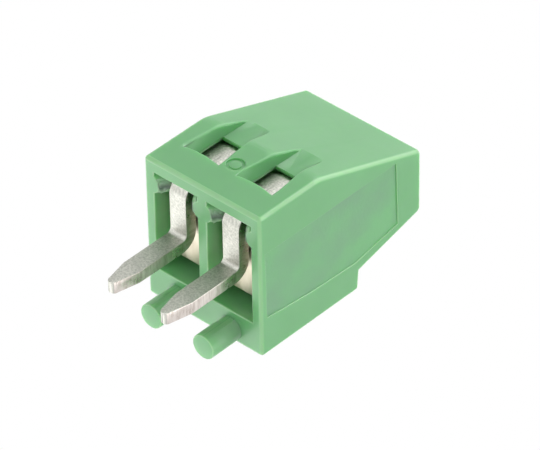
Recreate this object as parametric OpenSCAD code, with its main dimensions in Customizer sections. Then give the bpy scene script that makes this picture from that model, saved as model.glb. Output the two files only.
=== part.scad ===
// Two-pole screw terminal block for a printed circuit board.
// Origin: middle of the face that sits on the board. +Z points away from the board,
// -Y to the side where the wires go in, +Y to the side with the test windows.
// Every length is in millimetres.

/* [Housing] */
// Distance between the two poles
pitch = 2.54; // [2.54:0.01:3.81]
// Depth from the wire side to the window side
body_d = 6.2; // [6:0.05:8]
// Height above the board
body_h = 8.5; // [7.1:0.05:11]
// Wall outside each pocket, on the side faces
side_t = 0.45; // [0.35:0.01:0.8]
// Wall on the window side
back_t = 0.55; // [0.45:0.01:0.7]
// Height of the step above the wire entries
step_h = 5.2; // [4.6:0.05:6]
// Height at which the window side starts to slope
shoulder_h = 3.07; // [3:0.01:3.6]
// Plastic left round the driver holes on the top face, before and behind them
top_rim = 0.265; // [0.15:0.005:0.5]

/* [Openings] */
// Diameter of the hole that guides the wire
wire_hole_d = 1.3; // [1:0.05:1.4]
// Widening of the wire funnel on each side
funnel_flare = 0.3; // [0.1:0.05:0.4]
// Ring of room that the driver has round the screw head
driver_room = 0.25; // [0.2:0.01:0.27]
// Height of the lower lip of a test window
window_z0 = 1.35; // [1.3:0.05:1.8]
// How far the middle of that lip stands above its ends
lip_rise = 0.13; // [0.05:0.01:0.2]
// How far the upper edge of a test window stands below the top of the current bar
window_drop = 0.33; // [0.25:0.01:0.5]
// Half width of a test window at the outer face
window_half = 0.86; // [0.65:0.01:0.9]

/* [Locating pegs] */
// Diameter of a locating peg
peg_d = 1; // [0.8:0.05:1.1]
// Length of a locating peg
peg_l = 1.45; // [1:0.05:3]
// Distance of the pegs from the row of solder pins
peg_y = 2.54; // [2.5:0.01:2.55]

/* [Contact] */
// Thickness of the contact strip
strip_t = 0.5; // [0.4:0.02:0.6]
// Width of the solder pin and of the strip in the pocket
strip_w = 0.8; // [0.6:0.02:1]
// Length of a solder pin below the board face
pin_l = 3.4; // [2.6:0.1:5]
// Length of the tapered end of a solder pin
pin_taper = 1.1; // [0.5:0.05:1.4]
// Height left for the wire between the open sleeve and the current bar
wire_room = 1.95; // [1.5:0.05:2.25]

/* [Clamp] */
// Outer diameter of the screw thread
screw_d = 1.4; // [1.2:0.1:1.6]
// Pitch of the screw thread
thread_pitch = 0.3; // [0.25:0.05:0.35]
// Turns of the screw from open to clamped
screw_turns = 5; // [3:0.5:5]
// Width of the ring by which the screw head is wider than the thread
head_ring = 0.15; // [0.1:0.01:0.15]
// Height of the screw head
head_h = 0.85; // [0.7:0.05:1]
// Thickness of the sleeve's side walls
sleeve_side_t = 0.25; // [0.2:0.01:0.3]
// Thickness of the sleeve's bottom wall, on which the wire lies
sleeve_floor_t = 0.25; // [0.2:0.01:0.3]
// Depth of the sleeve along the wire
sleeve_d = 2.4; // [2:0.05:2.6]
// Thickness of the threaded top of the sleeve
nut_t = 0.95; // [0.8:0.05:1.1]

/* [Fits] */
// Gap between a turning screw and the hole around it
running_gap = 0.05; // [0.03:0.01:0.1]
// Gap between the sliding sleeve and the walls beside it
slide_gap = 0.05; // [0.04:0.01:0.1]
// Gap that keeps parts from rubbing where nothing guides them
free_gap = 0.1; // [0.06:0.01:0.12]
// Gap between the screw's tip and the current bar
tip_gap = 0.02; // [0.01:0.01:0.05]

/* [Hidden] */
$fn = 64;
eps = 0.01;
over = 0.5;

// Across the poles: the thread sets the sleeve, and the sleeve sets the pocket
sleeve_in_w = screw_d + 2 * running_gap;
sleeve_w = sleeve_in_w + 2 * sleeve_side_t;
pocket_w = sleeve_w + 2 * slide_gap;
bar_w = sleeve_in_w - 2 * slide_gap;
body_w = pitch + pocket_w + 2 * side_t;
front_y = -body_d / 2;
back_y = body_d / 2;

// Screw and sleeve along the wire
screw_y = -0.1;
sleeve_y0 = screw_y - sleeve_d / 2;
sleeve_y1 = screw_y + sleeve_d / 2;
head_d = screw_d + 2 * head_ring;
head_bore_d = head_d + 2 * running_gap;
driver_hole_d = head_d + 2 * driver_room;
tip_cone = 0.2;
head_chamfer = 0.1;
slot_w = 0.32;
slot_deep = 0.45;
sleeve_corner = 0.3;

// Pockets
bar_front_room = 0.3;
sleeve_front_room = 0.45;
pocket_y0 = sleeve_y0 - sleeve_front_room;
pocket_y1 = back_y - back_t;
rib_r = 0.4;
rib_out = 0.25;
rib_back = 0.55;
rib_lean = 40;
rib_lean_out = rib_r / cos(rib_lean);

// Contact strip: bends, from the pin to the current bar
strip_z0 = 0.1;
strip_z1 = strip_z0 + strip_t;
pin_bend_in = 0.2;
riser_bend_in = 0.1;
bar_bend_in = 0.1;
pin_bend_out = pin_bend_in + strip_t;
riser_bend_out = riser_bend_in + strip_t;
bar_bend_out = bar_bend_in + strip_t;
riser_y1 = pocket_y1 - slide_gap;
bar_bend_y = riser_y1 - bar_bend_out;
riser_w = pocket_w - 2 * rib_out - 2 * eps;
crown_r = 2;
tip_r = 0.2;
neck_h = 0.25;
flare_h = 0.45;

// Heights, from the board up
sleeve_z0 = strip_z1 + free_gap;
wire_z0 = sleeve_z0 + sleeve_floor_t;
wire_z = wire_z0 + wire_room / 2;
bar_z0 = wire_z0 + wire_room;
bar_z1 = bar_z0 + strip_t;
pocket_z1 = bar_z1 + slide_gap;
window_z1 = bar_z1 - window_drop;
nut_z0 = bar_z1 + slide_gap;
sleeve_z1 = nut_z0 + nut_t;
lift = screw_turns * thread_pitch;
chamber_z1 = sleeve_z1 + lift + free_gap;
head_seat = 0.05;
head_z0 = chamber_z1 + head_seat;
head_z1 = head_z0 + head_h;
head_room_z1 = head_z1 + free_gap;

// Housing outline
step_rise = 0.08;
step_inset = 0.82;
top_half_d = driver_hole_d / 2 + top_rim;
funnel_deep = 0.5;

// Window grooves
groove_wall = 0.1;
groove_floor_y = pocket_y1 + groove_wall;
groove_l = 3.1;
groove_flare = 0.31;
groove_floor_half = window_half - groove_flare;
groove_top_half = groove_floor_half - 0.05;
lip_r = (window_half * window_half + lip_rise * lip_rise) / (2 * lip_rise);

// Side panel, sunk into the face on the -X side
panel_deep = 0.05;

// Mark of the moulding gate, sunk into the window side between the windows
gate_r = 0.36;
gate_nub_r = 0.22;
gate_deep = 0.06;
gate_nub_h = 0.04;
gate_z = 1.77;

// Rounding of the corners of the side outline, in the order of its points
corner_r = [0.15, 0.15, 1.5, 0.25, 0.25, 0, 0.15];

// The outline of the housing seen from the side: [y, z]
function side_outline() = [
    [front_y, 0],
    [back_y, 0],
    [back_y, shoulder_h],
    [screw_y + top_half_d, body_h],
    [screw_y - top_half_d, body_h],
    [front_y + step_inset, step_h],
    [front_y, step_h - step_rise]
];

// The outline of the sunk panel on the side face: [y, z]
function panel_outline() = [
    [back_y - 1.68, 0.25],
    [back_y - 1.68, body_h - 1.35],
    [front_y + 1.74, body_h - 1.25],
    [front_y + 1.3, step_h - 0.24],
    [front_y + 1.4, step_h / 2],
    [front_y + 1.65, 0.3]
];

function unit(v) = v / norm(v);

// Half of the angle at corner i of an outline, the two ends of its arc and the arc's middle
function corner_ways(points, i) = [
    unit(points[(i + len(points) - 1) % len(points)] - points[i]),
    unit(points[(i + 1) % len(points)] - points[i])
];
function corner_half(ways) = acos(ways[0] * ways[1]) / 2;
function arc_ends(points, i, r) =
    let (ways = corner_ways(points, i), reach = r / tan(corner_half(ways)))
    r > 0 ? [points[i] + ways[0] * reach, points[i] + ways[1] * reach] : [points[i]];
function arc_middle(points, i, r) =
    let (ways = corner_ways(points, i))
    points[i] + unit(ways[0] + ways[1]) * r / sin(corner_half(ways));

// An outline with rounded corners: a polygon between the arcs, and a circle for each arc
module rounded(points, radii) {
    polygon([for (i = [0 : len(points) - 1]) for (end = arc_ends(points, i, radii[i])) end]);
    for (i = [0 : len(points) - 1])
        if (radii[i] > 0) translate(arc_middle(points, i, radii[i])) circle(r = radii[i]);
}

// Extrudes a [y, z] outline along X, with its middle at x = 0
module along_x(width) {
    rotate([90, 0, 90])
        translate([0, 0, -width / 2])
            linear_extrude(width) children();
}

module block(x_half, y0, y1, z0, z1) {
    translate([-x_half, y0, z0]) cube([2 * x_half, y1 - y0, z1 - z0]);
}

// The left pole has side = -1, the right one side = 1
module at_pole(side) {
    translate([side * pitch / 2, 0, 0]) children();
}

// A rib that holds the contact's shoulders: upright, with a lower end that leans in under them
module rib(side) {
    half = pocket_w / 2;
    lean_h = (half - rib_out - strip_w / 2 - free_gap) / tan(rib_lean);
    translate([0, pocket_y1 - rib_back, 0]) {
        translate([side * (half - rib_out + rib_r), 0, -body_h])
            cylinder(r = rib_r, h = 2 * body_h);
        intersection() {
            translate([side * (half - rib_out + rib_lean_out), 0, 0])
                rotate([0, -side * rib_lean, 0])
                    translate([0, 0, -1]) cylinder(r = rib_r, h = 2);
            block(pocket_w, -1, 1, -over - 1, lean_h);
        }
    }
}

module pocket() {
    half = pocket_w / 2;
    difference() {
        union() {
            block(half, pocket_y0, bar_bend_y, -over, pocket_z1);
            block(half, pocket_y0, pocket_y1, -over, window_z1);
            translate([0, bar_bend_y, bar_z1 - bar_bend_out])
                rotate([0, 90, 0])
                    cylinder(r = bar_bend_out + slide_gap, h = pocket_w, center = true);
        }
        for (s = [-1, 1]) rib(s);
    }
    block(half, sleeve_y0 - free_gap, sleeve_y1 + free_gap, 0, chamber_z1);
}

module window_slice(half_low, half_high, z) {
    translate([0, 0, z])
        linear_extrude(eps)
            polygon([
                [-half_low, groove_floor_y],
                [half_low, groove_floor_y],
                [half_high, back_y],
                [half_high, back_y + over],
                [-half_high, back_y + over],
                [-half_high, back_y]
            ]);
}

module test_window() {
    difference() {
        union() {
            hull() {
                window_slice(groove_floor_half, window_half, window_z0);
                window_slice(groove_top_half, groove_top_half, window_z0 + groove_l);
            }
            block(groove_floor_half, pocket_y1 - over, groove_floor_y + eps, window_z0, window_z1);
        }
        translate([0, back_y, window_z0 + lip_rise - lip_r])
            rotate([90, 0, 0]) cylinder(r = lip_r, h = 4 * back_t, center = true, $fn = 128);
    }
}

// A sunk ring with a low nub inside, where the plastic came in
module gate_mark() {
    translate([0, back_y, gate_z]) rotate([90, 0, 0]) difference() {
        cylinder(r = gate_r, h = 2 * gate_deep, center = true);
        translate([0, 0, gate_deep - gate_nub_h]) cylinder(r = gate_nub_r, h = gate_deep);
    }
}

module wire_entry() {
    translate([0, 0, wire_z])
        rotate([-90, 0, 0]) {
            translate([0, 0, front_y])
                cylinder(d = wire_hole_d, h = pocket_y0 - front_y + eps);
            translate([0, 0, front_y])
                cylinder(d1 = wire_hole_d + 2 * funnel_flare, d2 = wire_hole_d, h = funnel_deep);
        }
}

module screw_access() {
    translate([0, screw_y, 0]) {
        translate([0, 0, chamber_z1 - eps])
            cylinder(d = head_bore_d, h = body_h - chamber_z1);
        translate([0, 0, head_room_z1])
            cylinder(d = driver_hole_d, h = body_h);
    }
}

module locating_peg() {
    translate([0, -peg_y, -peg_l])
        cylinder(d = peg_d, h = peg_l + 0.2);
}

module housing() {
    color("#7fbd87") {
        difference() {
            along_x(body_w) rounded(side_outline(), corner_r);
            translate([-body_w / 2, 0, 0]) along_x(2 * panel_deep) polygon(panel_outline());
            gate_mark();
            for (side = [-1, 1])
                at_pole(side) {
                    pocket();
                    test_window();
                    wire_entry();
                    screw_access();
                }
        }
        for (side = [-1, 1]) at_pole(side) locating_peg();
    }
}

// A quarter ring in the Y-Z plane, cut from a tube along X.
// turn = 0 fills +Y +Z of the centre, and each step turns it by 90 degrees about X.
module bend(width, inner, outer, turn) {
    intersection() {
        rotate([0, 90, 0]) difference() {
            cylinder(r = outer, h = width, center = true);
            cylinder(r = inner, h = width + 1, center = true);
        }
        rotate([90 * turn, 0, 0]) block(width, 0, outer + 1, 0, outer + 1);
    }
}

// Cross section of the widened strip: x across, y outwards, with a slightly crowned outer face
module crowned_section() {
    intersection() {
        translate([-riser_w / 2, -strip_t]) square([riser_w, strip_t]);
        translate([0, -crown_r]) circle(r = crown_r, $fn = 128);
    }
}

module solder_pin() {
    straight = pin_l - pin_taper;
    rotate([90, 0, 0])
        linear_extrude(strip_t, center = true) {
            translate([-strip_w / 2, -straight]) square([strip_w, straight - pin_bend_in + strip_z0]);
            polygon([
                [-strip_w / 2, -straight],
                [strip_w / 2, -straight],
                [tip_r, tip_r - pin_l],
                [-tip_r, tip_r - pin_l]
            ]);
            translate([0, tip_r - pin_l]) circle(r = tip_r);
        }
}

// The part of the strip that lies along the pocket's mouth, from the pin to the window side
module cross_strip() {
    bend_y = strip_t / 2 + pin_bend_in;
    riser_bend_y = riser_y1 - riser_bend_out;
    translate([0, bend_y, strip_z0 - pin_bend_in]) bend(strip_w, pin_bend_in, pin_bend_out, 1);
    block(strip_w / 2, bend_y, riser_bend_y, strip_z0, strip_z1);
    translate([0, riser_bend_y, strip_z0 + riser_bend_out])
        bend(strip_w, riser_bend_in, riser_bend_out, 3);
}

// The part of the strip that stands behind the test window
module riser() {
    z0 = strip_z0 + riser_bend_out;
    z1 = bar_z1 - bar_bend_out;
    intersection() {
        translate([0, riser_y1, z0]) linear_extrude(z1 - z0) crowned_section();
        rotate([90, 0, 0])
            linear_extrude(2 * body_d, center = true)
                polygon([
                    [-strip_w / 2, z0],
                    [strip_w / 2, z0],
                    [strip_w / 2, z0 + neck_h],
                    [riser_w / 2, z0 + neck_h + flare_h],
                    [riser_w / 2, z1],
                    [-riser_w / 2, z1],
                    [-riser_w / 2, z0 + neck_h + flare_h],
                    [-strip_w / 2, z0 + neck_h]
                ]);
    }
}

// The part that bends over the wire space and runs through the sleeve
module current_bar() {
    translate([0, bar_bend_y, bar_z1 - bar_bend_out])
        rotate([90, 0, 90])
            rotate_extrude(angle = 90, $fn = 96)
                translate([bar_bend_out, 0]) rotate(-90) crowned_section();
    block(bar_w / 2, pocket_y0 + bar_front_room, bar_bend_y, bar_z0, bar_z1);
}

module contact(side) {
    color("#b9b4ae") at_pole(side) {
        solder_pin();
        cross_strip();
        riser();
        current_bar();
    }
}

// A frame with its two lower corners rounded, drawn as [x, z]
module sleeve_outline() {
    half = sleeve_w / 2;
    translate([-half, sleeve_z0 + sleeve_corner]) square([sleeve_w, sleeve_z1 - sleeve_z0 - sleeve_corner]);
    translate([-half + sleeve_corner, sleeve_z0]) square([sleeve_w - 2 * sleeve_corner, 1]);
    for (s = [-1, 1])
        translate([s * (half - sleeve_corner), sleeve_z0 + sleeve_corner]) circle(r = sleeve_corner);
}

module sleeve(side) {
    color("#dcd2bd") at_pole(side) difference() {
        translate([0, sleeve_y1, 0])
            rotate([90, 0, 0]) linear_extrude(sleeve_y1 - sleeve_y0) sleeve_outline();
        block(sleeve_in_w / 2, sleeve_y0 - 1, sleeve_y1 + 1, wire_z0, nut_z0);
        translate([0, screw_y, nut_z0 - eps]) cylinder(d = sleeve_in_w, h = nut_t + over);
    }
}

module screw(side) {
    tip_z = bar_z1 + tip_gap;
    shank_r = screw_d / 2;
    color("#c9c9c6") at_pole(side) translate([0, screw_y, 0]) difference() {
        union() {
            translate([0, 0, tip_z]) cylinder(r1 = shank_r - tip_cone, r2 = shank_r, h = tip_cone);
            translate([0, 0, tip_z + tip_cone]) cylinder(r = shank_r, h = head_z0 - tip_z - tip_cone + eps);
            translate([0, 0, head_z0]) cylinder(d = head_d, h = head_h - head_chamfer);
            translate([0, 0, head_z1 - head_chamfer])
                cylinder(r1 = head_d / 2, r2 = head_d / 2 - head_chamfer, h = head_chamfer);
        }
        block(slot_w / 2, -head_d, head_d, head_z1 - slot_deep, head_z1 + 1);
    }
}

housing();
contact(-1);  // contact_left
contact(1);  // contact_right
sleeve(-1);  // sleeve_left
sleeve(1);  // sleeve_right
screw(-1);  // screw_left
screw(1);  // screw_right
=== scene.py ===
"""Finishes a two-pole screw terminal: moulded housing, contacts, wire clamps and stage."""

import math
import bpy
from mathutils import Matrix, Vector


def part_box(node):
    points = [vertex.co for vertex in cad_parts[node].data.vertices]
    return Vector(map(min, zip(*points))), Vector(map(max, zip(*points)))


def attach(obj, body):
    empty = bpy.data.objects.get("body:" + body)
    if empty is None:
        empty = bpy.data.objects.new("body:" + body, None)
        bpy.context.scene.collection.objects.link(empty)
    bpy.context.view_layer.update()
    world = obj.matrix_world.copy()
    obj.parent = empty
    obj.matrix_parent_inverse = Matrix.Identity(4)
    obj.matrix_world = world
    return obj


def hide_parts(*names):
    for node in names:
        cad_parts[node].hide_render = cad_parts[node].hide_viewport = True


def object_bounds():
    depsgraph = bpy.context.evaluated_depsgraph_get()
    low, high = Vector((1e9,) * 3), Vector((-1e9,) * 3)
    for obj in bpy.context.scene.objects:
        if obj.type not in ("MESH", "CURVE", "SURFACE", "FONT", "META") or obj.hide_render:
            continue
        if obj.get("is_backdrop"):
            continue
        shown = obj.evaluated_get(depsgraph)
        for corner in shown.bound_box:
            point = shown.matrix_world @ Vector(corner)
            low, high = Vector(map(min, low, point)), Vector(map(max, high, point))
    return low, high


bl_info = {
    "name": "Two-Pole Screw Terminal",
    "version": (1, 0, 0),
    "blender": (4, 5, 0),
    "location": "View3D > Sidebar > Terminal",
    "description": "Moulded housing, solder contacts and wire clamps of a screw terminal",
    "category": "Object",
}

import bmesh
import bpy
from mathutils import Matrix, Vector

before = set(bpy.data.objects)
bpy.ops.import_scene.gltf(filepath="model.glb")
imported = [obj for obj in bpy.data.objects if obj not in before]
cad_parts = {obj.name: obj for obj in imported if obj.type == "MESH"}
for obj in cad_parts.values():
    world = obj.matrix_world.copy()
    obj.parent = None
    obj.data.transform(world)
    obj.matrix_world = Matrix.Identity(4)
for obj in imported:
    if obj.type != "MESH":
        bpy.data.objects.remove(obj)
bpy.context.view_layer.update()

SIDES = ("left", "right")

# Meshes are worked in millimetres and shrunk to metres at the end
TO_MM = 1000.0
TO_M = 0.001

# In millimetres: closer than SAME is one place, closer than TOUCHING is on the same surface
SAME = 1e-4
TOUCHING = 1e-3

# A face that is narrower than this many millimetres belongs to a rounding
ROUNDING_BREADTH = 0.12


# ---------------------------------------------------------------- colours and nodes


def linear(code):
    """Turn an sRGB hex code into the linear colour that shaders work in."""
    shares = [int(code[i : i + 2], 16) / 255 for i in (1, 3, 5)]
    return [s / 12.92 if s <= 0.04045 else ((s + 0.055) / 1.055) ** 2.4 for s in shares]


def opaque(colour):
    return (*colour, 1.0)


def put(tree, kind, values=None, **settings):
    """Add one node. A value that is a node or a socket is linked, any other is set."""
    node = tree.nodes.new(kind)
    for name, setting in settings.items():
        setattr(node, name, setting)
    for name, value in (values or {}).items():
        if isinstance(value, bpy.types.Node):
            value = next(socket for socket in value.outputs if socket.enabled)
        if isinstance(value, bpy.types.NodeSocket):
            tree.links.new(value, node.inputs[name])
        else:
            node.inputs[name].default_value = value
    return node


def start_material(name):
    """A new material, and its tree with nothing in it."""
    material = bpy.data.materials.new(name)
    material.use_nodes = True
    material.node_tree.nodes.clear()
    return material, material.node_tree


def place_in_mm(tree):
    """The place on the object, in millimetres."""
    place = put(tree, "ShaderNodeTexCoord").outputs["Object"]
    return put(tree, "ShaderNodeVectorMath", {0: place, "Scale": TO_MM}, operation="SCALE")


# ---------------------------------------------------------------- materials

# A pattern's scale is the number of its cells to a millimetre. The two colours of a colour mix
# are its inputs 6 and 7.


def moulded_plastic(name, colour, shade, pale, rough, grain, grain_depth):
    """Polyamide, injection moulded.

    It gives the eye a satin skin copied from the mould, with faint clouds where the melt flowed.
    Corners get a painted highlight, a paler colour, for light that goes in near a corner and comes
    out again.
    """
    material, tree = start_material(name)
    place = place_in_mm(tree)

    # The melt leaves clouds about 2 mm wide
    flow = put(tree, "ShaderNodeTexNoise", {"Vector": place, "Scale": 0.5, "Detail": 3.0})
    drift = put(tree, "ShaderNodeMapRange", {"Value": flow, "From Min": 0.35, "From Max": 0.65})
    values = {"Factor": drift, 6: opaque(colour), 7: opaque(shade)}
    body = put(tree, "ShaderNodeMix", values, data_type="RGBA")
    # Painted highlight: the corner attribute mixes the colour towards the paler one along the
    # outside's roundings
    corner = put(tree, "ShaderNodeAttribute", attribute_name="corner").outputs["Fac"]
    values = {"Factor": corner, 6: body, 7: opaque(pale)}
    tone = put(tree, "ShaderNodeMix", values, data_type="RGBA")

    # The gloss drifts a little from place to place, over about 1.2 mm
    patches = put(tree, "ShaderNodeTexNoise", {"Vector": place, "Scale": 0.8, "Detail": 1.0})
    values = {"Value": patches, "From Min": 0.2, "From Max": 0.8}
    values |= {"To Min": rough - 0.02, "To Max": rough + 0.03}
    gloss = put(tree, "ShaderNodeMapRange", values)

    # The skin sinks in waves about 1 mm wide as it cools. The mould's own grain, a few hundredths
    # of a millimetre wide, would be too fine to show and is drawn several times as coarse.
    waves = put(tree, "ShaderNodeTexNoise", {"Vector": place, "Scale": 0.9, "Detail": 1.0})
    under = put(tree, "ShaderNodeBump", {"Height": waves, "Distance": 0.012 * TO_M})
    skin = put(tree, "ShaderNodeTexNoise", {"Vector": place, "Scale": grain})
    values = {"Height": skin, "Distance": grain_depth * TO_M, "Normal": under}
    surface = put(tree, "ShaderNodeBump", values)

    # Red and blue light goes about half as deep into green plastic as green light does
    values = {
        "Base Color": tone,
        "Roughness": gloss,
        "Normal": surface,
        "IOR": 1.52,
        "Subsurface Weight": 0.75,
        "Subsurface Radius": (0.55, 1.0, 0.4),
        "Subsurface Scale": 0.6 * TO_M,
    }
    shader = put(tree, "ShaderNodeBsdfPrincipled", values)
    put(tree, "ShaderNodeOutputMaterial", {"Surface": shader})
    return material


def tinned_face(name, dark, light):
    """Rolled bronze strip, plated with matt tin.

    It gives the eye a soft grey metal, speckled by the tin's crystals, over faint rolling lines.
    """
    material, tree = start_material(name)
    run = put(tree, "ShaderNodeUVMap", uv_map="strip")

    # Tin crystals are a few hundredths of a millimetre wide. They are drawn at about 0.09 mm, so
    # that they show, in clouds of about 0.6 mm.
    values = {"Vector": run, "Scale": 11.0, "Detail": 4.0, "Roughness": 0.8}
    speckle = put(tree, "ShaderNodeTexNoise", values)
    clouds = put(tree, "ShaderNodeTexNoise", {"Vector": run, "Scale": 1.8, "Detail": 3.0})
    values = {"Value": speckle, "From Min": 0.4, "From Max": 0.6, "To Max": 0.75}
    grains = put(tree, "ShaderNodeMapRange", values)
    values = {"Value": clouds, "From Min": 0.3, "From Max": 0.7, "To Max": 0.25}
    drift = put(tree, "ShaderNodeMapRange", values)
    mottle = put(tree, "ShaderNodeMath", {0: grains, 1: drift}, operation="ADD")
    values = {"Factor": mottle, 6: opaque(dark), 7: opaque(light)}
    tone = put(tree, "ShaderNodeMix", values, data_type="RGBA")
    values = {"Value": speckle, "From Min": 0.35, "From Max": 0.65, "To Min": 0.3, "To Max": 0.46}
    gloss = put(tree, "ShaderNodeMapRange", values)

    # Rolling lines lie along the strip, about eight times as long as they are wide
    values = {0: run, 1: (0.12, 1.0, 1.0)}
    drawn = put(tree, "ShaderNodeVectorMath", values, operation="MULTIPLY")
    rolling = put(tree, "ShaderNodeTexNoise", {"Vector": drawn, "Scale": 12.0})
    lines = put(tree, "ShaderNodeBump", {"Height": rolling, "Distance": 0.003 * TO_M})
    values = {"Height": speckle, "Distance": 0.012 * TO_M, "Normal": lines}
    surface = put(tree, "ShaderNodeBump", values)

    values = {"Base Color": tone, "Metallic": 1.0, "Roughness": gloss, "Normal": surface}
    shader = put(tree, "ShaderNodeBsdfPrincipled", values)
    put(tree, "ShaderNodeOutputMaterial", {"Surface": shader})
    return material


def punched_edge(name, dark, light):
    """The same tinned bronze where the punch went through it.

    It gives the eye a brighter metal, with marks drawn straight through the strip's thickness.
    """
    material, tree = start_material(name)
    run = put(tree, "ShaderNodeUVMap", uv_map="strip")

    # The punch's marks are drawn at about 0.1 mm apart, coarser than real, so that they show
    values = {0: run, 1: (1.0, 0.16, 1.0)}
    drawn = put(tree, "ShaderNodeVectorMath", values, operation="MULTIPLY")
    values = {"Vector": drawn, "Scale": 9.0, "Detail": 3.0, "Roughness": 0.6}
    drag = put(tree, "ShaderNodeTexNoise", values)
    patch = put(tree, "ShaderNodeTexNoise", {"Vector": run, "Scale": 1.6, "Detail": 3.0})
    values = {"Value": drag, "From Min": 0.36, "From Max": 0.6, "To Max": 0.7}
    marks = put(tree, "ShaderNodeMapRange", values)
    values = {"Value": patch, "From Min": 0.4, "From Max": 0.6, "To Max": 0.3}
    drift = put(tree, "ShaderNodeMapRange", values)
    streak = put(tree, "ShaderNodeMath", {0: marks, 1: drift}, operation="ADD")
    values = {"Factor": streak, 6: opaque(dark), 7: opaque(light)}
    tone = put(tree, "ShaderNodeMix", values, data_type="RGBA")
    values = {"Value": patch, "From Min": 0.3, "From Max": 0.7, "To Min": 0.22, "To Max": 0.4}
    gloss = put(tree, "ShaderNodeMapRange", values)
    surface = put(tree, "ShaderNodeBump", {"Height": drag, "Distance": 0.006 * TO_M})

    values = {"Base Color": tone, "Metallic": 1.0, "Roughness": gloss, "Normal": surface}
    shader = put(tree, "ShaderNodeBsdfPrincipled", values)
    put(tree, "ShaderNodeOutputMaterial", {"Surface": shader})
    return material


def plated_metal(name, colour, shade, rough, stretch, depth):
    """Nickel or zinc, plated over shaped metal.

    It gives the eye an even tone in thin clouds, with faint marks of the tool that shaped the
    metal below. The marks are drawn out along the axis where stretch is less than 1.
    """
    material, tree = start_material(name)
    place = place_in_mm(tree)

    # The plating's clouds are about 0.7 mm wide
    clouds = put(tree, "ShaderNodeTexNoise", {"Vector": place, "Scale": 1.4, "Detail": 3.0})
    drift = put(tree, "ShaderNodeMapRange", {"Value": clouds, "From Min": 0.3, "From Max": 0.7})
    values = {"Factor": drift, 6: opaque(colour), 7: opaque(shade)}
    tone = put(tree, "ShaderNodeMix", values, data_type="RGBA")

    # The tool's marks are drawn 0.1 mm apart, coarser than real, so that they show
    values = {0: place, 1: stretch}
    drawn = put(tree, "ShaderNodeVectorMath", values, operation="MULTIPLY")
    marks = put(tree, "ShaderNodeTexNoise", {"Vector": drawn, "Scale": 10.0})
    values = {"Value": marks, "From Min": 0.3, "From Max": 0.7}
    values |= {"To Min": rough - 0.06, "To Max": rough + 0.08}
    gloss = put(tree, "ShaderNodeMapRange", values)
    surface = put(tree, "ShaderNodeBump", {"Height": marks, "Distance": depth * TO_M})

    values = {"Base Color": tone, "Metallic": 1.0, "Roughness": gloss, "Normal": surface}
    shader = put(tree, "ShaderNodeBsdfPrincipled", values)
    put(tree, "ShaderNodeOutputMaterial", {"Surface": shader})
    return material


# ---------------------------------------------------------------- mesh work


def solid_from(node, cuts=()):
    """The CAD node's triangles as one closed mesh of flat faces, in millimetres.

    Each cut is an axis and a place on it: it parts faces that have openings in them.
    """
    solid = bmesh.new()
    solid.from_mesh(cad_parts[node].data)
    bmesh.ops.scale(solid, vec=(TO_MM,) * 3, verts=solid.verts)
    bmesh.ops.remove_doubles(solid, verts=solid.verts, dist=2 * SAME)
    for axis, place in cuts:
        normal = Vector([float(k == axis) for k in range(3)])
        parts = solid.verts[:] + solid.edges[:] + solid.faces[:]
        bmesh.ops.bisect_plane(
            solid, geom=parts, dist=SAME / 10, plane_co=normal * place, plane_no=normal
        )
    for edge in solid.edges:
        edge.seam = any(
            all(abs(v.co[axis] - place) < SAME for v in edge.verts) for axis, place in cuts
        )
    bmesh.ops.dissolve_limit(
        solid,
        angle_limit=math.radians(0.2),
        verts=solid.verts,
        edges=solid.edges,
        delimit={"SEAM"},
    )
    bmesh.ops.recalc_face_normals(solid, faces=solid.faces)
    solid.normal_update()
    return solid


def ease(solid, radius_of, widest, segments=3):
    """Round the corners: radius_of(edge) gives each one's radius in millimetres, or 0."""
    least_turn = math.radians(25)
    marks = solid.edges.layers.float.new("bevel_weight_edge")
    for edge in solid.edges:
        if len(edge.link_faces) == 2 and edge.calc_face_angle(0.0) > least_turn:
            edge[marks] = radius_of(edge) / widest
    mesh = bpy.data.meshes.new("eased")
    solid.to_mesh(mesh)
    solid.free()
    blank = bpy.data.objects.new("eased", mesh)
    bpy.context.collection.objects.link(blank)
    rounding = blank.modifiers.new("Rounding", "BEVEL")
    rounding.limit_method = "WEIGHT"
    rounding.width = widest
    rounding.segments = segments
    rounding.use_clamp_overlap = False
    rounding.miter_outer = "MITER_SHARP"
    return bake(blank)


def bake(blank):
    """The evaluated mesh of a work object, which is then cleared away."""
    graph = bpy.context.evaluated_depsgraph_get()
    result = bpy.data.meshes.new_from_object(blank.evaluated_get(graph), depsgraph=graph)
    mesh = blank.data
    bpy.data.objects.remove(blank)
    bpy.data.meshes.remove(mesh)
    return result


def is_flat(face):
    """Whether a face is too broad, across its longest edge, to belong to a rounding."""
    longest = max(edge.calc_length() for edge in face.edges)
    return face.calc_area() / longest > ROUNDING_BREADTH


def finish_mesh(mesh, smooth=40.0):
    """Shade round parts smooth and keep flats flat, also where two meet at a low angle."""
    for face in mesh.polygons:
        face.use_smooth = True
    mesh.set_sharp_from_angle(angle=math.radians(smooth))
    solid = bmesh.new()
    solid.from_mesh(mesh)
    least_turn = math.radians(5)
    for edge in solid.edges:
        if len(edge.link_faces) == 2 and edge.calc_face_angle(0.0) > least_turn:
            if all(is_flat(face) for face in edge.link_faces):
                edge.smooth = False
    solid.to_mesh(mesh)
    solid.free()


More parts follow.
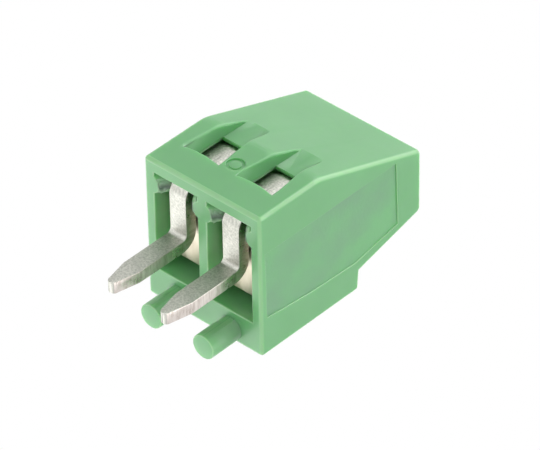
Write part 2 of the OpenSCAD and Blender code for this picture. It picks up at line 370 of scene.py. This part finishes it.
def mark_painted_highlights(mesh, tightest, outside):
    """Mark where the painted highlight goes: 1 along the middle of each outside rounding, fading
    to 0 on the flats.

    How tightly the surface bends at an edge is its turn over the width of the faces beside it.
    """
    least_turn = math.radians(3)
    least_width = 0.005
    solid = bmesh.new()
    solid.from_mesh(mesh)
    tight = {}
    for edge in solid.edges:
        if len(edge.link_faces) != 2 or not edge.is_convex:
            continue
        turn = edge.calc_face_angle(0.0)
        length = edge.calc_length()
        if turn < least_turn or length < SAME:
            continue
        width = sum(face.calc_area() for face in edge.link_faces) / length / 2
        bend = turn / max(width, least_width)
        for vert in edge.verts:
            tight[vert.index] = max(tight.get(vert.index, 0.0), bend)
    solid.free()
    layer = mesh.attributes.new("corner", "FLOAT", "CORNER")
    for face in mesh.polygons:
        around = [mesh.vertices[i].co for i in face.vertices]
        reach = max((a - b).length for a in around for b in around)
        narrow = face.area / reach < ROUNDING_BREADTH and outside(face.center)
        for loop, vert in zip(face.loop_indices, face.vertices):
            share = min(1.0, tight.get(vert, 0.0) * tightest) if narrow else 0.0
            layer.data[loop].value = share


def place_piece(name, mesh, body, node, materials):
    """Shrink a millimetre mesh to metres and set it on its body in place of the CAD node."""
    mesh.transform(Matrix.Scale(TO_M, 4))
    low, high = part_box(node)
    for vert in mesh.vertices:
        vert.co = [min(max(c, a), b) for c, a, b in zip(vert.co, low, high)]
    mesh.name = name
    piece = bpy.data.objects.new(name, mesh)
    bpy.context.collection.objects.link(piece)
    for material in materials:
        mesh.materials.append(material)

    # The flats keep straight normals, and the roundings between them take the turn
    weighing = piece.modifiers.new("Weighing", "WEIGHTED_NORMAL")
    weighing.keep_sharp = True
    graph = bpy.context.evaluated_depsgraph_get()
    weighed = bpy.data.meshes.new_from_object(piece.evaluated_get(graph), depsgraph=graph)
    piece.modifiers.clear()
    piece.data = weighed
    bpy.data.meshes.remove(mesh)
    weighed.name = name

    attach(piece, body)
    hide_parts(node)
    return piece


def strip_course(box_high, tip_z, bar_end_y, thick=0.5, cross_z=0.35):
    """Middle line of the bent strip, from the pin's tip to the end of the current bar."""
    steps = 8
    riser_y = box_high.y - thick / 2
    bar_z = box_high.z - thick / 2
    corners = [(0, tip_z), (0, cross_z), (riser_y, cross_z), (riser_y, bar_z), (bar_end_y, bar_z)]
    radii = [0, 0.45, 0.35, 0.35, 0]
    line = []
    for i, (corner, radius) in enumerate(zip(corners, radii)):
        at = Vector(corner)
        if not radius:
            line.append(at)
            continue
        back = (Vector(corners[i - 1]) - at).normalized()
        ahead = (Vector(corners[i + 1]) - at).normalized()
        middle = at + (back + ahead) * radius
        for step in range(steps + 1):
            turn = math.radians(90 * step / steps)
            line.append(middle - ahead * radius * math.cos(turn) - back * radius * math.sin(turn))
    return line


def along_course(line, y, z):
    """How far along the line a place is, how far beside it, and which way it lies from it."""
    place = Vector((y, z))
    best = None
    run = 0.0
    for start, end in zip(line, line[1:]):
        step = end - start
        share = min(1.0, max(0.0, (place - start).dot(step) / step.length_squared))
        beside = place - (start + step * share)
        if best is None or beside.length < best[0]:
            side = 1 if step.x * beside.y - step.y * beside.x > 0 else -1
            best = (beside.length, run + share * step.length, side, beside)
        run += step.length
    return best[1], best[2] * best[0], best[3]


def on_punched_edge(face):
    """Whether a face of the strip is one of its punched edges."""
    return abs(face.normal.x) > 0.7


def map_strip(mesh, line, pole_x):
    """Lay the strip map: each face gets its place along the strip and across it, in millimetres.

    The punched edges lie beside the faces on the map, so their patterns don't meet.
    """
    edges_beside = 3.0
    layer = mesh.uv_layers.new(name="strip")
    known = {}
    for face in mesh.polygons:
        on_edge = on_punched_edge(face)
        for loop in face.loop_indices:
            index = mesh.loops[loop].vertex_index
            if index not in known:
                x, y, z = mesh.vertices[index].co
                known[index] = (x - pole_x, *along_course(line, y, z)[:2])
            across, run, beside = known[index]
            layer.data[loop].uv = (run, edges_beside + beside if on_edge else across)


def smooth_bends(mesh, line, pole_x):
    """Point the normals of the strip's faces away from its middle line.

    The bends then shade evenly. A face that leans sideways belongs to a crowned stretch, whose
    normals go on leaning evenly from its middle to its edges.
    """
    flat_lean, edge_lean = 0.02, 0.3
    least_match = 0.9
    normals = [corner.vector.copy() for corner in mesh.corner_normals]
    for face in mesh.polygons:
        lean = face.normal.x
        if abs(lean) > edge_lean:
            continue
        bow = lean / (face.center.x * TO_MM - pole_x) if abs(lean) > flat_lean else 0.0
        for loop in face.loop_indices:
            at = mesh.vertices[mesh.loops[loop].vertex_index].co * TO_MM
            away = along_course(line, at.y, at.z)[2]
            turned = Vector((0.0, away.x, away.y)).normalized()
            if turned.dot(face.normal) > least_match:
                turned.x = bow * (at.x - pole_x)
                normals[loop] = turned.normalized()
    mesh.normals_split_custom_set(normals)


def smooth_walls(mesh, within):
    """Turn the normals of the grooves' twisted side walls evenly from one end to the other.

    Each wall is two flats that meet in a fold, one at each end of its groove.
    """
    least_area = 0.1
    walls = {}
    for face in mesh.polygons:
        at = face.center * TO_MM
        leans = 0.4 < abs(face.normal.x) < 0.999
        if leans and within(at) and face.area * TO_MM**2 > least_area:
            walls.setdefault((at.x > 0, face.normal.x > 0), []).append(face)
    normals = [corner.vector.copy() for corner in mesh.corner_normals]
    for faces in walls.values():
        faces.sort(key=lambda face: face.center.z)
        heights = [mesh.vertices[v].co.z for face in faces for v in face.vertices]
        bottom, top = min(heights), max(heights)
        for face in faces:
            for loop in face.loop_indices:
                height = mesh.vertices[mesh.loops[loop].vertex_index].co.z
                share = (height - bottom) / (top - bottom)
                normals[loop] = faces[0].normal.lerp(faces[-1].normal, share).normalized()
    mesh.normals_split_custom_set(normals)


def pole_middle(side):
    """Middle of one pole's screw, in millimetres."""
    return sum(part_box(f"screw_{side}"), Vector()) / 2 * TO_MM


def width_in_x(face):
    """How far a face reaches from left to right."""
    values = [v.co.x for v in face.verts]
    return max(values) - min(values)


def neck_height(node, head_radius):
    """Height of the underside of the screw head."""
    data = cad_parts[node].data
    middle = sum(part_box(node), Vector()) / 2
    reach = head_radius * TO_M - TOUCHING * TO_M
    rim = [v.co.z for v in data.vertices if (v.co.xy - middle.xy).length > reach]
    return min(rim) * TO_MM


def crest_radius(node, neck):
    """Outer radius of the threaded shank, which lies below the neck."""
    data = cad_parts[node].data
    middle = sum(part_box(node), Vector()) / 2
    shank = [v.co for v in data.vertices if v.co.z * TO_MM < neck - 0.01]
    return max((at.xy - middle.xy).length for at in shank) * TO_MM


def lathed_core(middle, crest, depth, tip, neck, steps=48):
    """The shank inside the thread: coned tip, thread root and a full neck under the head."""
    root = crest - depth
    full = crest - 0.02

    # Height and radius of each ring, from the tip up
    rings = [
        (tip, root - 0.14),
        (tip + 0.04, root - 0.08),
        (tip + 0.12, root),
        (neck - 0.14, root),
        (neck - 0.04, full),
        (neck + 0.02, full),
    ]
    core = bmesh.new()
    rows = []
    for height, reach in rings:
        row = []
        for k in range(steps):
            turn = 2 * math.pi * k / steps
            x = middle.x + reach * math.cos(turn)
            y = middle.y + reach * math.sin(turn)
            row.append(core.verts.new((x, y, height)))
        rows.append(row)
    for lower, upper in zip(rows, rows[1:]):
        for k in range(steps):
            after = (k + 1) % steps
            core.faces.new((lower[k], lower[after], upper[after], upper[k]))
    core.faces.new(rows[0][::-1])
    core.faces.new(rows[-1])
    core.normal_update()
    return core


def screw_head(node, neck):
    """The slotted head alone, closed underneath."""
    head = solid_from(node)
    parts = head.verts[:] + head.edges[:] + head.faces[:]
    bmesh.ops.bisect_plane(
        head, geom=parts, plane_co=(0, 0, neck + SAME), plane_no=(0, 0, 1), clear_inner=True
    )
    open_edges = [e for e in head.edges if len(e.link_faces) == 1]
    bmesh.ops.contextual_create(head, geom=open_edges)
    bmesh.ops.recalc_face_normals(head, faces=head.faces)
    return head


def join_blanks(core, head, head_round=0.02):
    """One work object from the shank and the head with its edges eased."""
    eased = ease(head, lambda edge: head_round if edge.is_convex else 0.0, head_round, 2)
    core.from_mesh(eased)
    bpy.data.meshes.remove(eased)
    mesh = bpy.data.meshes.new("screw blank")
    core.to_mesh(mesh)
    core.free()
    blank = bpy.data.objects.new("screw blank", mesh)
    bpy.context.collection.objects.link(blank)
    return blank


def thread_tree(name):
    """Geometry nodes that wind a ridge round the shank and join it to what comes in."""
    tree = bpy.data.node_groups.new(name, "GeometryNodeTree")
    sockets = tree.interface
    sockets.new_socket("Geometry", in_out="INPUT", socket_type="NodeSocketGeometry")
    for label in ("Radius", "Pitch", "Turns", "Ridge height", "Ridge foot", "Ridge crest"):
        sockets.new_socket(label, in_out="INPUT", socket_type="NodeSocketFloat")
    sockets.new_socket("Start", in_out="INPUT", socket_type="NodeSocketVector")
    sockets.new_socket("Material", in_out="INPUT", socket_type="NodeSocketMaterial")
    sockets.new_socket("Geometry", in_out="OUTPUT", socket_type="NodeSocketGeometry")
    given = put(tree, "NodeGroupInput").outputs

    # The helix that the ridge follows
    values = {0: given["Pitch"], 1: given["Turns"]}
    rise = put(tree, "ShaderNodeMath", values, operation="MULTIPLY")
    values = {
        "Resolution": 36,
        "Rotations": given["Turns"],
        "Start Radius": given["Radius"],
        "End Radius": given["Radius"],
        "Height": rise,
    }
    helix = put(tree, "GeometryNodeCurveSpiral", values)
    upright = put(tree, "GeometryNodeSetCurveNormal", {"Curve": helix}, mode="Z_UP")

    # The ridge's section, turned so that its crest points outwards
    values = {
        "Height": given["Ridge height"],
        "Bottom Width": given["Ridge foot"],
        "Top Width": given["Ridge crest"],
    }
    section = put(tree, "GeometryNodeCurvePrimitiveQuadrilateral", values, mode="TRAPEZOID")
    values = {"Geometry": section, "Rotation": (0.0, 0.0, math.radians(-90))}
    outwards = put(tree, "GeometryNodeTransform", values)

    values = {"Curve": upright, "Profile Curve": outwards, "Fill Caps": True}
    ridge = put(tree, "GeometryNodeCurveToMesh", values)
    values = {"Geometry": ridge, "Translation": given["Start"]}
    placed = put(tree, "GeometryNodeTransform", values)
    joined = put(tree, "GeometryNodeJoinGeometry", {0: placed})
    tree.links.new(given["Geometry"], joined.inputs[0])
    solid = put(tree, "GeometryNodeRealizeInstances", {"Geometry": joined})
    values = {"Geometry": solid, "Material": given["Material"]}
    painted = put(tree, "GeometryNodeSetMaterial", values)
    put(tree, "NodeGroupOutput", {0: painted})
    return tree


def add_thread(blank, tree, values):
    """Wind the thread on a work object through the tree's named inputs."""
    winding = blank.modifiers.new("Thread", "NODES")
    winding.node_group = tree
    for item in tree.interface.items_tree:
        if item.in_out == "INPUT" and item.name in values:
            winding[item.identifier] = values[item.name]


# ---------------------------------------------------------------- settings


class HousingSettings(bpy.types.PropertyGroup):
    """Sizes and colours of the moulded housing."""

    outer_round: bpy.props.FloatProperty(
        name="Outer rounding",
        description="Radius of the outer edges of the moulding",
        default=0.00014,
        min=0.0,
        unit="LENGTH",
    )
    mouth_round: bpy.props.FloatProperty(
        name="Mouth rounding",
        description="Radius round the pockets, the funnels and the driver holes",
        default=0.00005,
        min=0.0,
        unit="LENGTH",
    )
    window_round: bpy.props.FloatProperty(
        name="Window rounding",
        description="Radius along the grooves of the test windows",
        default=0.0001,
        min=0.0,
        unit="LENGTH",
    )
    colour: bpy.props.FloatVectorProperty(
        name="Plastic",
        description="Colour of the green plastic",
        default=linear("#80c588"),
        subtype="COLOR",
    )
    shade: bpy.props.FloatVectorProperty(
        name="Plastic clouds",
        description="Colour that the plastic drifts to in faint clouds",
        default=linear("#7cc284"),
        subtype="COLOR",
    )
    # Painted highlight: the paler colour painted along the plastic's rounded corners
    corner_highlight_colour: bpy.props.FloatVectorProperty(
        name="Painted corner highlights",
        description="Painted highlight: a paler colour along the plastic's rounded corners",
        default=linear("#a4d8a5"),
        subtype="COLOR",
    )
    panel_colour: bpy.props.FloatVectorProperty(
        name="Panel",
        description="Colour of the matt panel on the side",
        default=linear("#81b68b"),
        subtype="COLOR",
    )


class ContactSettings(bpy.types.PropertyGroup):
    """Sizes and colours of the contact strips."""

    edge_break: bpy.props.FloatProperty(
        name="Edge break",
        description="Radius left on the punched edges of the strip",
        default=0.00003,
        min=0.0,
        unit="LENGTH",
    )
    tin: bpy.props.FloatVectorProperty(
        name="Tin",
        description="Lighter tone of the matt tin on the strip's faces",
        default=linear("#cdccc4"),
        subtype="COLOR",
    )
    tin_dark: bpy.props.FloatVectorProperty(
        name="Tin speckle",
        description="Darker tone of the matt tin",
        default=linear("#9a9c93"),
        subtype="COLOR",
    )
    cut: bpy.props.FloatVectorProperty(
        name="Punched edge",
        description="Lighter tone of the bright punched edges",
        default=linear("#e2dad4"),
        subtype="COLOR",
    )
    cut_dark: bpy.props.FloatVectorProperty(
        name="Punched edge marks",
        description="Darker tone of the punched edges",
        default=linear("#bdb3aa"),
        subtype="COLOR",
    )


class ClampSettings(bpy.types.PropertyGroup):
    """Sizes and colours of the sleeves and screws."""

    sleeve_round: bpy.props.FloatProperty(
        name="Sleeve rounding",
        description="Radius of the sleeve's edges",
        default=0.00004,
        min=0.0,
        unit="LENGTH",
    )
    thread_pitch: bpy.props.FloatProperty(
        name="Thread pitch",
        description="Distance between two turns of the thread",
        default=0.0003,
        min=0.0001,
        unit="LENGTH",
    )
    thread_depth: bpy.props.FloatProperty(
        name="Thread depth",
        description="Height of the thread's ridge",
        default=0.00015,
        min=0.00001,
        unit="LENGTH",
    )
    nickel: bpy.props.FloatVectorProperty(
        name="Nickel",
        description="Lighter tone of the sleeve's nickel plating",
        default=linear("#d2cab9"),
        subtype="COLOR",
    )
    nickel_dark: bpy.props.FloatVectorProperty(
        name="Nickel clouds",
        description="Darker tone of the sleeve's nickel plating",
        default=linear("#c6bca8"),
        subtype="COLOR",
    )
    zinc: bpy.props.FloatVectorProperty(
        name="Zinc",
        description="Lighter tone of the screw's zinc plating",
        default=linear("#c9cbcc"),
        subtype="COLOR",
    )
    zinc_dark: bpy.props.FloatVectorProperty(
        name="Zinc clouds",
        description="Darker tone of the screw's zinc plating",
        default=linear("#b4babf"),
        subtype="COLOR",
    )


class StageSettings(bpy.types.PropertyGroup):
    """Floor, lamps and camera."""

    lens: bpy.props.FloatProperty(
        name="Lens",
        description="Focal length of the camera",
        default=300.0,
        min=20.0,
        unit="CAMERA",
    )
    ambient: bpy.props.FloatProperty(
        name="Ambient light",
        description="Strength of the even light from all round",
        default=0.35,
        min=0.0,
    )


# ---------------------------------------------------------------- pieces


class TERMINAL_OT_housing(bpy.types.Operator):
    """Make the moulded housing with its rounded edges and matt panel"""

    bl_idname = "terminal.housing"
    bl_label = "Housing"

    def execute(self, context):
        sizes = context.scene.terminal_housing
        outer = sizes.outer_round * TO_MM
        mouth = sizes.mouth_round * TO_MM
        window = sizes.window_round * TO_MM
        low, high = (corner * TO_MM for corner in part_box("housing"))
        poles = [(0, pole_middle(side).x) for side in SIDES]
        solid = solid_from("housing", [*poles, (0, 0.0), (1, pole_middle("left").y)])
        riser_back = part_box("contact_left")[1].y * TO_MM
        groove_back = riser_back + 0.2
        inner_round = 0.015
        gate_mark_round = 0.012

        def radius(edge):
            """One edge's rounding, told by which part of the moulding it lies on."""
            middle = (edge.verts[0].co + edge.verts[1].co) / 2
            on_side = abs(middle.x) > high.x - TOUCHING
            on_panel_rim = max(width_in_x(face) for face in edge.link_faces) < 0.5
            on_peg = middle.z < -0.5
            on_window_side = middle.y > riser_back and middle.z > 0.5
            on_gate_mark = abs(middle.x) < 0.5
            on_groove_rim = middle.y > groove_back + 0.05
            on_board_face = abs(middle.z) < TOUCHING
            on_top = middle.z > high.z - 0.01
            on_wire_side = middle.y < low.y + 0.01
            if not edge.is_convex:
                return 0.0
            if on_side:
                return inner_round if on_panel_rim else outer
            if on_peg:
                return mouth
            if on_window_side and on_gate_mark:
                return gate_mark_round
            if on_window_side:
                return window if on_groove_rim else inner_round
            if on_board_face:
                return mouth
            if on_top or on_wire_side:
                return mouth * 0.8
            return 0.0

        def outside(at, reach=0.3):
            """Whether a place lies near the sides, the board face or the top."""
            return abs(at.x) > high.x - reach or at.z < reach or at.z > high.z - reach

        def in_groove(at, lowest=1.0, highest=5.0):
            """Whether a place lies in one of the grooves above the test windows."""
            return at.y > groove_back and lowest < at.z < highest

        mesh = ease(solid, radius, max(outer, mouth, window))
        finish_mesh(mesh)
        # Mask for the painted highlight on the corners near the sides, the board face and the top
        mark_painted_highlights(mesh, max(outer, mouth), outside)
        for face in mesh.polygons:
            sunk = face.center.x + high.x
            is_panel = face.normal.x < -0.9 and 0.02 < sunk < 0.2
            face.material_index = 1 if is_panel else 0
        # Both plastics get the painted highlight colour along their corners
        plastic = moulded_plastic(
            "Green polyamide",
            sizes.colour,
            sizes.shade,
            sizes.corner_highlight_colour,
            rough=0.3,
            grain=5.0,
            grain_depth=0.0012,
        )

        # A spark-eroded mould face has a deeper grain, which makes the panel matt
        panel = moulded_plastic(
            "Green polyamide, spark-eroded",
            sizes.panel_colour,
            sizes.colour,
            sizes.corner_highlight_colour,
            rough=0.5,
            grain=7.0,
            grain_depth=0.006,
        )
        piece = place_piece(
            "housing_moulding", mesh, "base", "housing", [plastic, panel]
        )
        smooth_walls(piece.data, in_groove)
        return {"FINISHED"}


class TERMINAL_OT_contacts(bpy.types.Operator):
    """Make the two bent contact strips with their solder pins"""

    bl_idname = "terminal.contacts"
    bl_label = "Contacts"

    def execute(self, context):
        sizes = context.scene.terminal_contact
        broken = sizes.edge_break * TO_MM
        tin = tinned_face("Matt tin on bronze strip", sizes.tin_dark, sizes.tin)
        cut = punched_edge("Tinned bronze, punched edge", sizes.cut_dark, sizes.cut)
        for side in SIDES:
            low, high = (corner * TO_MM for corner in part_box(f"contact_{side}"))
            pole_x = (low.x + high.x) / 2
            line = strip_course(high, low.z, low.y)
            solid = solid_from(f"contact_{side}")
            mesh = ease(solid, lambda edge: broken if edge.is_convex else 0.0, broken, 2)
            finish_mesh(mesh, 30.0)
            map_strip(mesh, line, pole_x)
            for face in mesh.polygons:
                face.material_index = 1 if on_punched_edge(face) else 0
            piece = place_piece(
                f"contact_strip_{side}", mesh, "base", f"contact_{side}", [tin, cut]
            )
            smooth_bends(piece.data, line, pole_x)
        return {"FINISHED"}


class TERMINAL_OT_sleeves(bpy.types.Operator):
    """Make the two clamp sleeves"""

    bl_idname = "terminal.sleeves"
    bl_label = "Clamp sleeves"

    def execute(self, context):
        sizes = context.scene.terminal_clamp
        rounding = sizes.sleeve_round * TO_MM
        nickel = plated_metal(
            "Nickel-plated brass",
            sizes.nickel,
            sizes.nickel_dark,
            rough=0.4,
            stretch=(1.0, 0.2, 1.0),
            depth=0.004,
        )
        for side in SIDES:
            name = f"sleeve_{side}"
            middle = pole_middle(side)
            solid = solid_from(name, [(0, middle.x), (1, middle.y)])
            mesh = ease(solid, lambda edge: rounding if edge.is_convex else 0.0, rounding, 2)
            finish_mesh(mesh)
            place_piece(f"clamp_{name}", mesh, name, name, [nickel])
        return {"FINISHED"}


class TERMINAL_OT_screws(bpy.types.Operator):
    """Make the two clamp screws with their threads"""

    bl_idname = "terminal.screws"
    bl_label = "Clamp screws"

    def execute(self, context):
        sizes = context.scene.terminal_clamp
        zinc = plated_metal(
            "Zinc-plated steel",
            sizes.zinc,
            sizes.zinc_dark,
            rough=0.3,
            stretch=(1.0, 1.0, 0.3),
            depth=0.002,
        )
        cutting = thread_tree("Screw thread")
        pitch = sizes.thread_pitch * TO_MM
        depth = sizes.thread_depth * TO_MM
        for side in SIDES:
            name = f"screw_{side}"
            low, high = (corner * TO_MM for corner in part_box(name))
            neck = neck_height(name, (high.x - low.x) / 2)
            middle = (low + high) / 2
            crest = crest_radius(name, neck)
            core = lathed_core(middle, crest, depth, low.z, neck)
            blank = join_blanks(core, screw_head(name, neck))

            # The ridge's foot is sunk into the shank, and both ends of the shank stay plain
            sunk = 0.02
            plain_tip = 0.2
            plain_ends = 0.35
            values = {
                "Radius": crest - depth / 2 - sunk / 2,
                "Pitch": pitch,
                "Turns": (neck - low.z - plain_ends) / pitch,
                "Ridge height": depth + sunk,
                "Ridge foot": pitch * 0.8,
                "Ridge crest": pitch * 0.15,
                "Start": (middle.x, middle.y, low.z + plain_tip),
                "Material": zinc,
            }
            add_thread(blank, cutting, values)
            mesh = bake(blank)
            mesh.materials.clear()
            finish_mesh(mesh)
            place_piece(f"clamp_{name}", mesh, name, name, [zinc])
        return {"FINISHED"}


class TERMINAL_OT_stage(bpy.types.Operator):
    """Make the floor, the lamps, the world and the camera"""

    bl_idname = "terminal.stage"
    bl_label = "Stage"

    def execute(self, context):
        sizes = context.scene.terminal_stage
        low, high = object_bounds()
        self.make_floor(low.z)
        self.make_world(context.scene, sizes.ambient)
        self.make_lamps((low + high) / 2)
        self.make_camera(context.scene, sizes.lens)
        context.scene.view_settings.view_transform = "Standard"
        return {"FINISHED"}

    def make_floor(self, height):
        """A pale floor that fades to plain white and can't be seen from below."""
        half = 0.15
        corners = [(-half, -half), (half, -half), (half, half), (-half, half)]
        mesh = bpy.data.meshes.new("floor")
        mesh.from_pydata([(x, y, height) for x, y in corners], [], [(0, 1, 2, 3)])
        floor = bpy.data.objects.new("floor", mesh)
        bpy.context.collection.objects.link(floor)

        # The floor's own paint gives way to white from 15 to 60 mm away from the object
        material, tree = start_material("Pale floor, open from below")
        values = {"Base Color": opaque(linear("#f4f4f2")), "Roughness": 0.8}
        near = put(tree, "ShaderNodeBsdfPrincipled", values)
        values = {"Color": opaque(linear("#ffffff")), "Strength": 1.0}
        far = put(tree, "ShaderNodeEmission", values)
        away = put(tree, "ShaderNodeVectorMath", {0: place_in_mm(tree)}, operation="LENGTH")
        fade = put(tree, "ShaderNodeMapRange", {"Value": away, "From Min": 15.0, "From Max": 60.0})
        paint = put(tree, "ShaderNodeMixShader", {0: fade, 1: near, 2: far})

        # Only the camera sees it, and only from above, so the lamps below reach the object
        seen = put(tree, "ShaderNodeLightPath").outputs["Is Camera Ray"]
        back = put(tree, "ShaderNodeNewGeometry").outputs["Backfacing"]
        values = {0: seen, 1: back}
        shown = put(tree, "ShaderNodeMath", values, operation="SUBTRACT", use_clamp=True)
        clear = put(tree, "ShaderNodeBsdfTransparent")
        surface = put(tree, "ShaderNodeMixShader", {0: shown, 1: clear, 2: paint})
        put(tree, "ShaderNodeOutputMaterial", {"Surface": surface})
        mesh.materials.append(material)
        floor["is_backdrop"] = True

    def make_world(self, scene, strength):
        """An even light that looks white where the camera, metal or glass sees it."""
        world = bpy.data.worlds.new("Even light")
        scene.world = world
        world.use_nodes = True
        tree = world.node_tree
        tree.nodes.clear()
        rays = put(tree, "ShaderNodeLightPath").outputs
        values = {0: rays["Is Camera Ray"], 1: rays["Is Glossy Ray"]}
        seen = put(tree, "ShaderNodeMath", values, operation="MAXIMUM")
        values = {0: seen, 1: rays["Is Transmission Ray"]}
        seen = put(tree, "ShaderNodeMath", values, operation="MAXIMUM")
        power = put(tree, "ShaderNodeMapRange", {"Value": seen, "To Min": strength})
        values = {"Color": opaque(linear("#ffffff")), "Strength": power}
        light = put(tree, "ShaderNodeBackground", values)
        put(tree, "ShaderNodeOutputWorld", {"Surface": light})

    def make_lamps(self, centre):
        """Soft square lamps, all at one distance from the object's centre.

        Each has its name, the way to it, its share and its size. A share of 1 lights a face that
        is turned to the lamp just enough to show the face's own colour.
        """
        lamps = [
            ("lamp_board_side", (0.46, -0.58, -0.66), 0.58, 0.30),
            ("lamp_far_side", (0.54, 0.55, -0.62), 0.16, 0.10),
            ("lamp_window_side", (-0.05, 0.62, 0.78), 0.56, 0.20),
            ("lamp_panel_side", (-0.90, -0.02, -0.42), 0.24, 0.18),
            ("lamp_shoulder_side", (-0.85, -0.05, 0.50), 0.26, 0.18),
            ("lamp_edge_side", (-0.62, 0.54, 0.57), 0.08, 0.05),
            ("lamp_wire_side", (0.35, -0.60, 0.70), 0.30, 0.26),
        ]
        distance = 0.25
        for name, way, share, size in lamps:
            lamp = bpy.data.lights.new(name, "AREA")
            lamp.shape = "SQUARE"
            lamp.size = size
            lamp.energy = share * (math.pi * distance) ** 2
            holder = bpy.data.objects.new(name, lamp)
            bpy.context.collection.objects.link(holder)
            aim = -Vector(way).normalized()
            holder.location = centre - aim * distance
            holder.rotation_euler = aim.to_track_quat("-Z", "Y").to_euler()

    def make_camera(self, scene, lens):
        """A long lens below board level, so the board face, window side and panel all show."""
        data = bpy.data.cameras.new("camera")
        data.lens = lens
        data.sensor_width = 36.0
        data.clip_start = 0.002
        data.clip_end = 5.0
        camera = bpy.data.objects.new("camera", data)
        bpy.context.collection.objects.link(camera)
        right = Vector((-0.7363, -0.0145, 0.6765))
        up = Vector((0.4127, 0.7826, 0.4660))
        back = Vector((-0.5362, 0.6224, -0.5702))
        place = Matrix.Translation((-0.08619, 0.09941, -0.08819))
        camera.matrix_world = place @ Matrix((right, up, back)).transposed().to_4x4()
        scene.camera = camera


class TERMINAL_PT_panel(bpy.types.Panel):
    """Lists the settings and the pieces of the terminal"""

    bl_label = "Screw Terminal"
    bl_idname = "TERMINAL_PT_panel"
    bl_space_type = "VIEW_3D"
    bl_region_type = "UI"
    bl_category = "Terminal"

    def draw(self, context):
        layout = self.layout
        groups = (
            (context.scene.terminal_housing, ("terminal.housing",)),
            (context.scene.terminal_contact, ("terminal.contacts",)),
            (context.scene.terminal_clamp, ("terminal.sleeves", "terminal.screws")),
            (context.scene.terminal_stage, ("terminal.stage",)),
        )
        for settings, operators in groups:
            box = layout.box()
            for name in settings.__annotations__:
                box.prop(settings, name)
            for name in operators:
                box.operator(name)


SETTINGS = (
    ("terminal_housing", HousingSettings),
    ("terminal_contact", ContactSettings),
    ("terminal_clamp", ClampSettings),
    ("terminal_stage", StageSettings),
)

CLASSES = (
    HousingSettings,
    ContactSettings,
    ClampSettings,
    StageSettings,
    TERMINAL_OT_housing,
    TERMINAL_OT_contacts,
    TERMINAL_OT_sleeves,
    TERMINAL_OT_screws,
    TERMINAL_OT_stage,
    TERMINAL_PT_panel,
)


def register():
    for cls in CLASSES:
        bpy.utils.register_class(cls)
    for name, group in SETTINGS:
        setattr(bpy.types.Scene, name, bpy.props.PointerProperty(type=group))


def unregister():
    for name, _ in SETTINGS:
        delattr(bpy.types.Scene, name)
    for cls in reversed(CLASSES):
        bpy.utils.unregister_class(cls)


def main():
    register()
    bpy.ops.terminal.housing()
    bpy.ops.terminal.contacts()
    bpy.ops.terminal.sleeves()
    bpy.ops.terminal.screws()
    bpy.ops.terminal.stage()


if __name__ == "__main__":
    main()
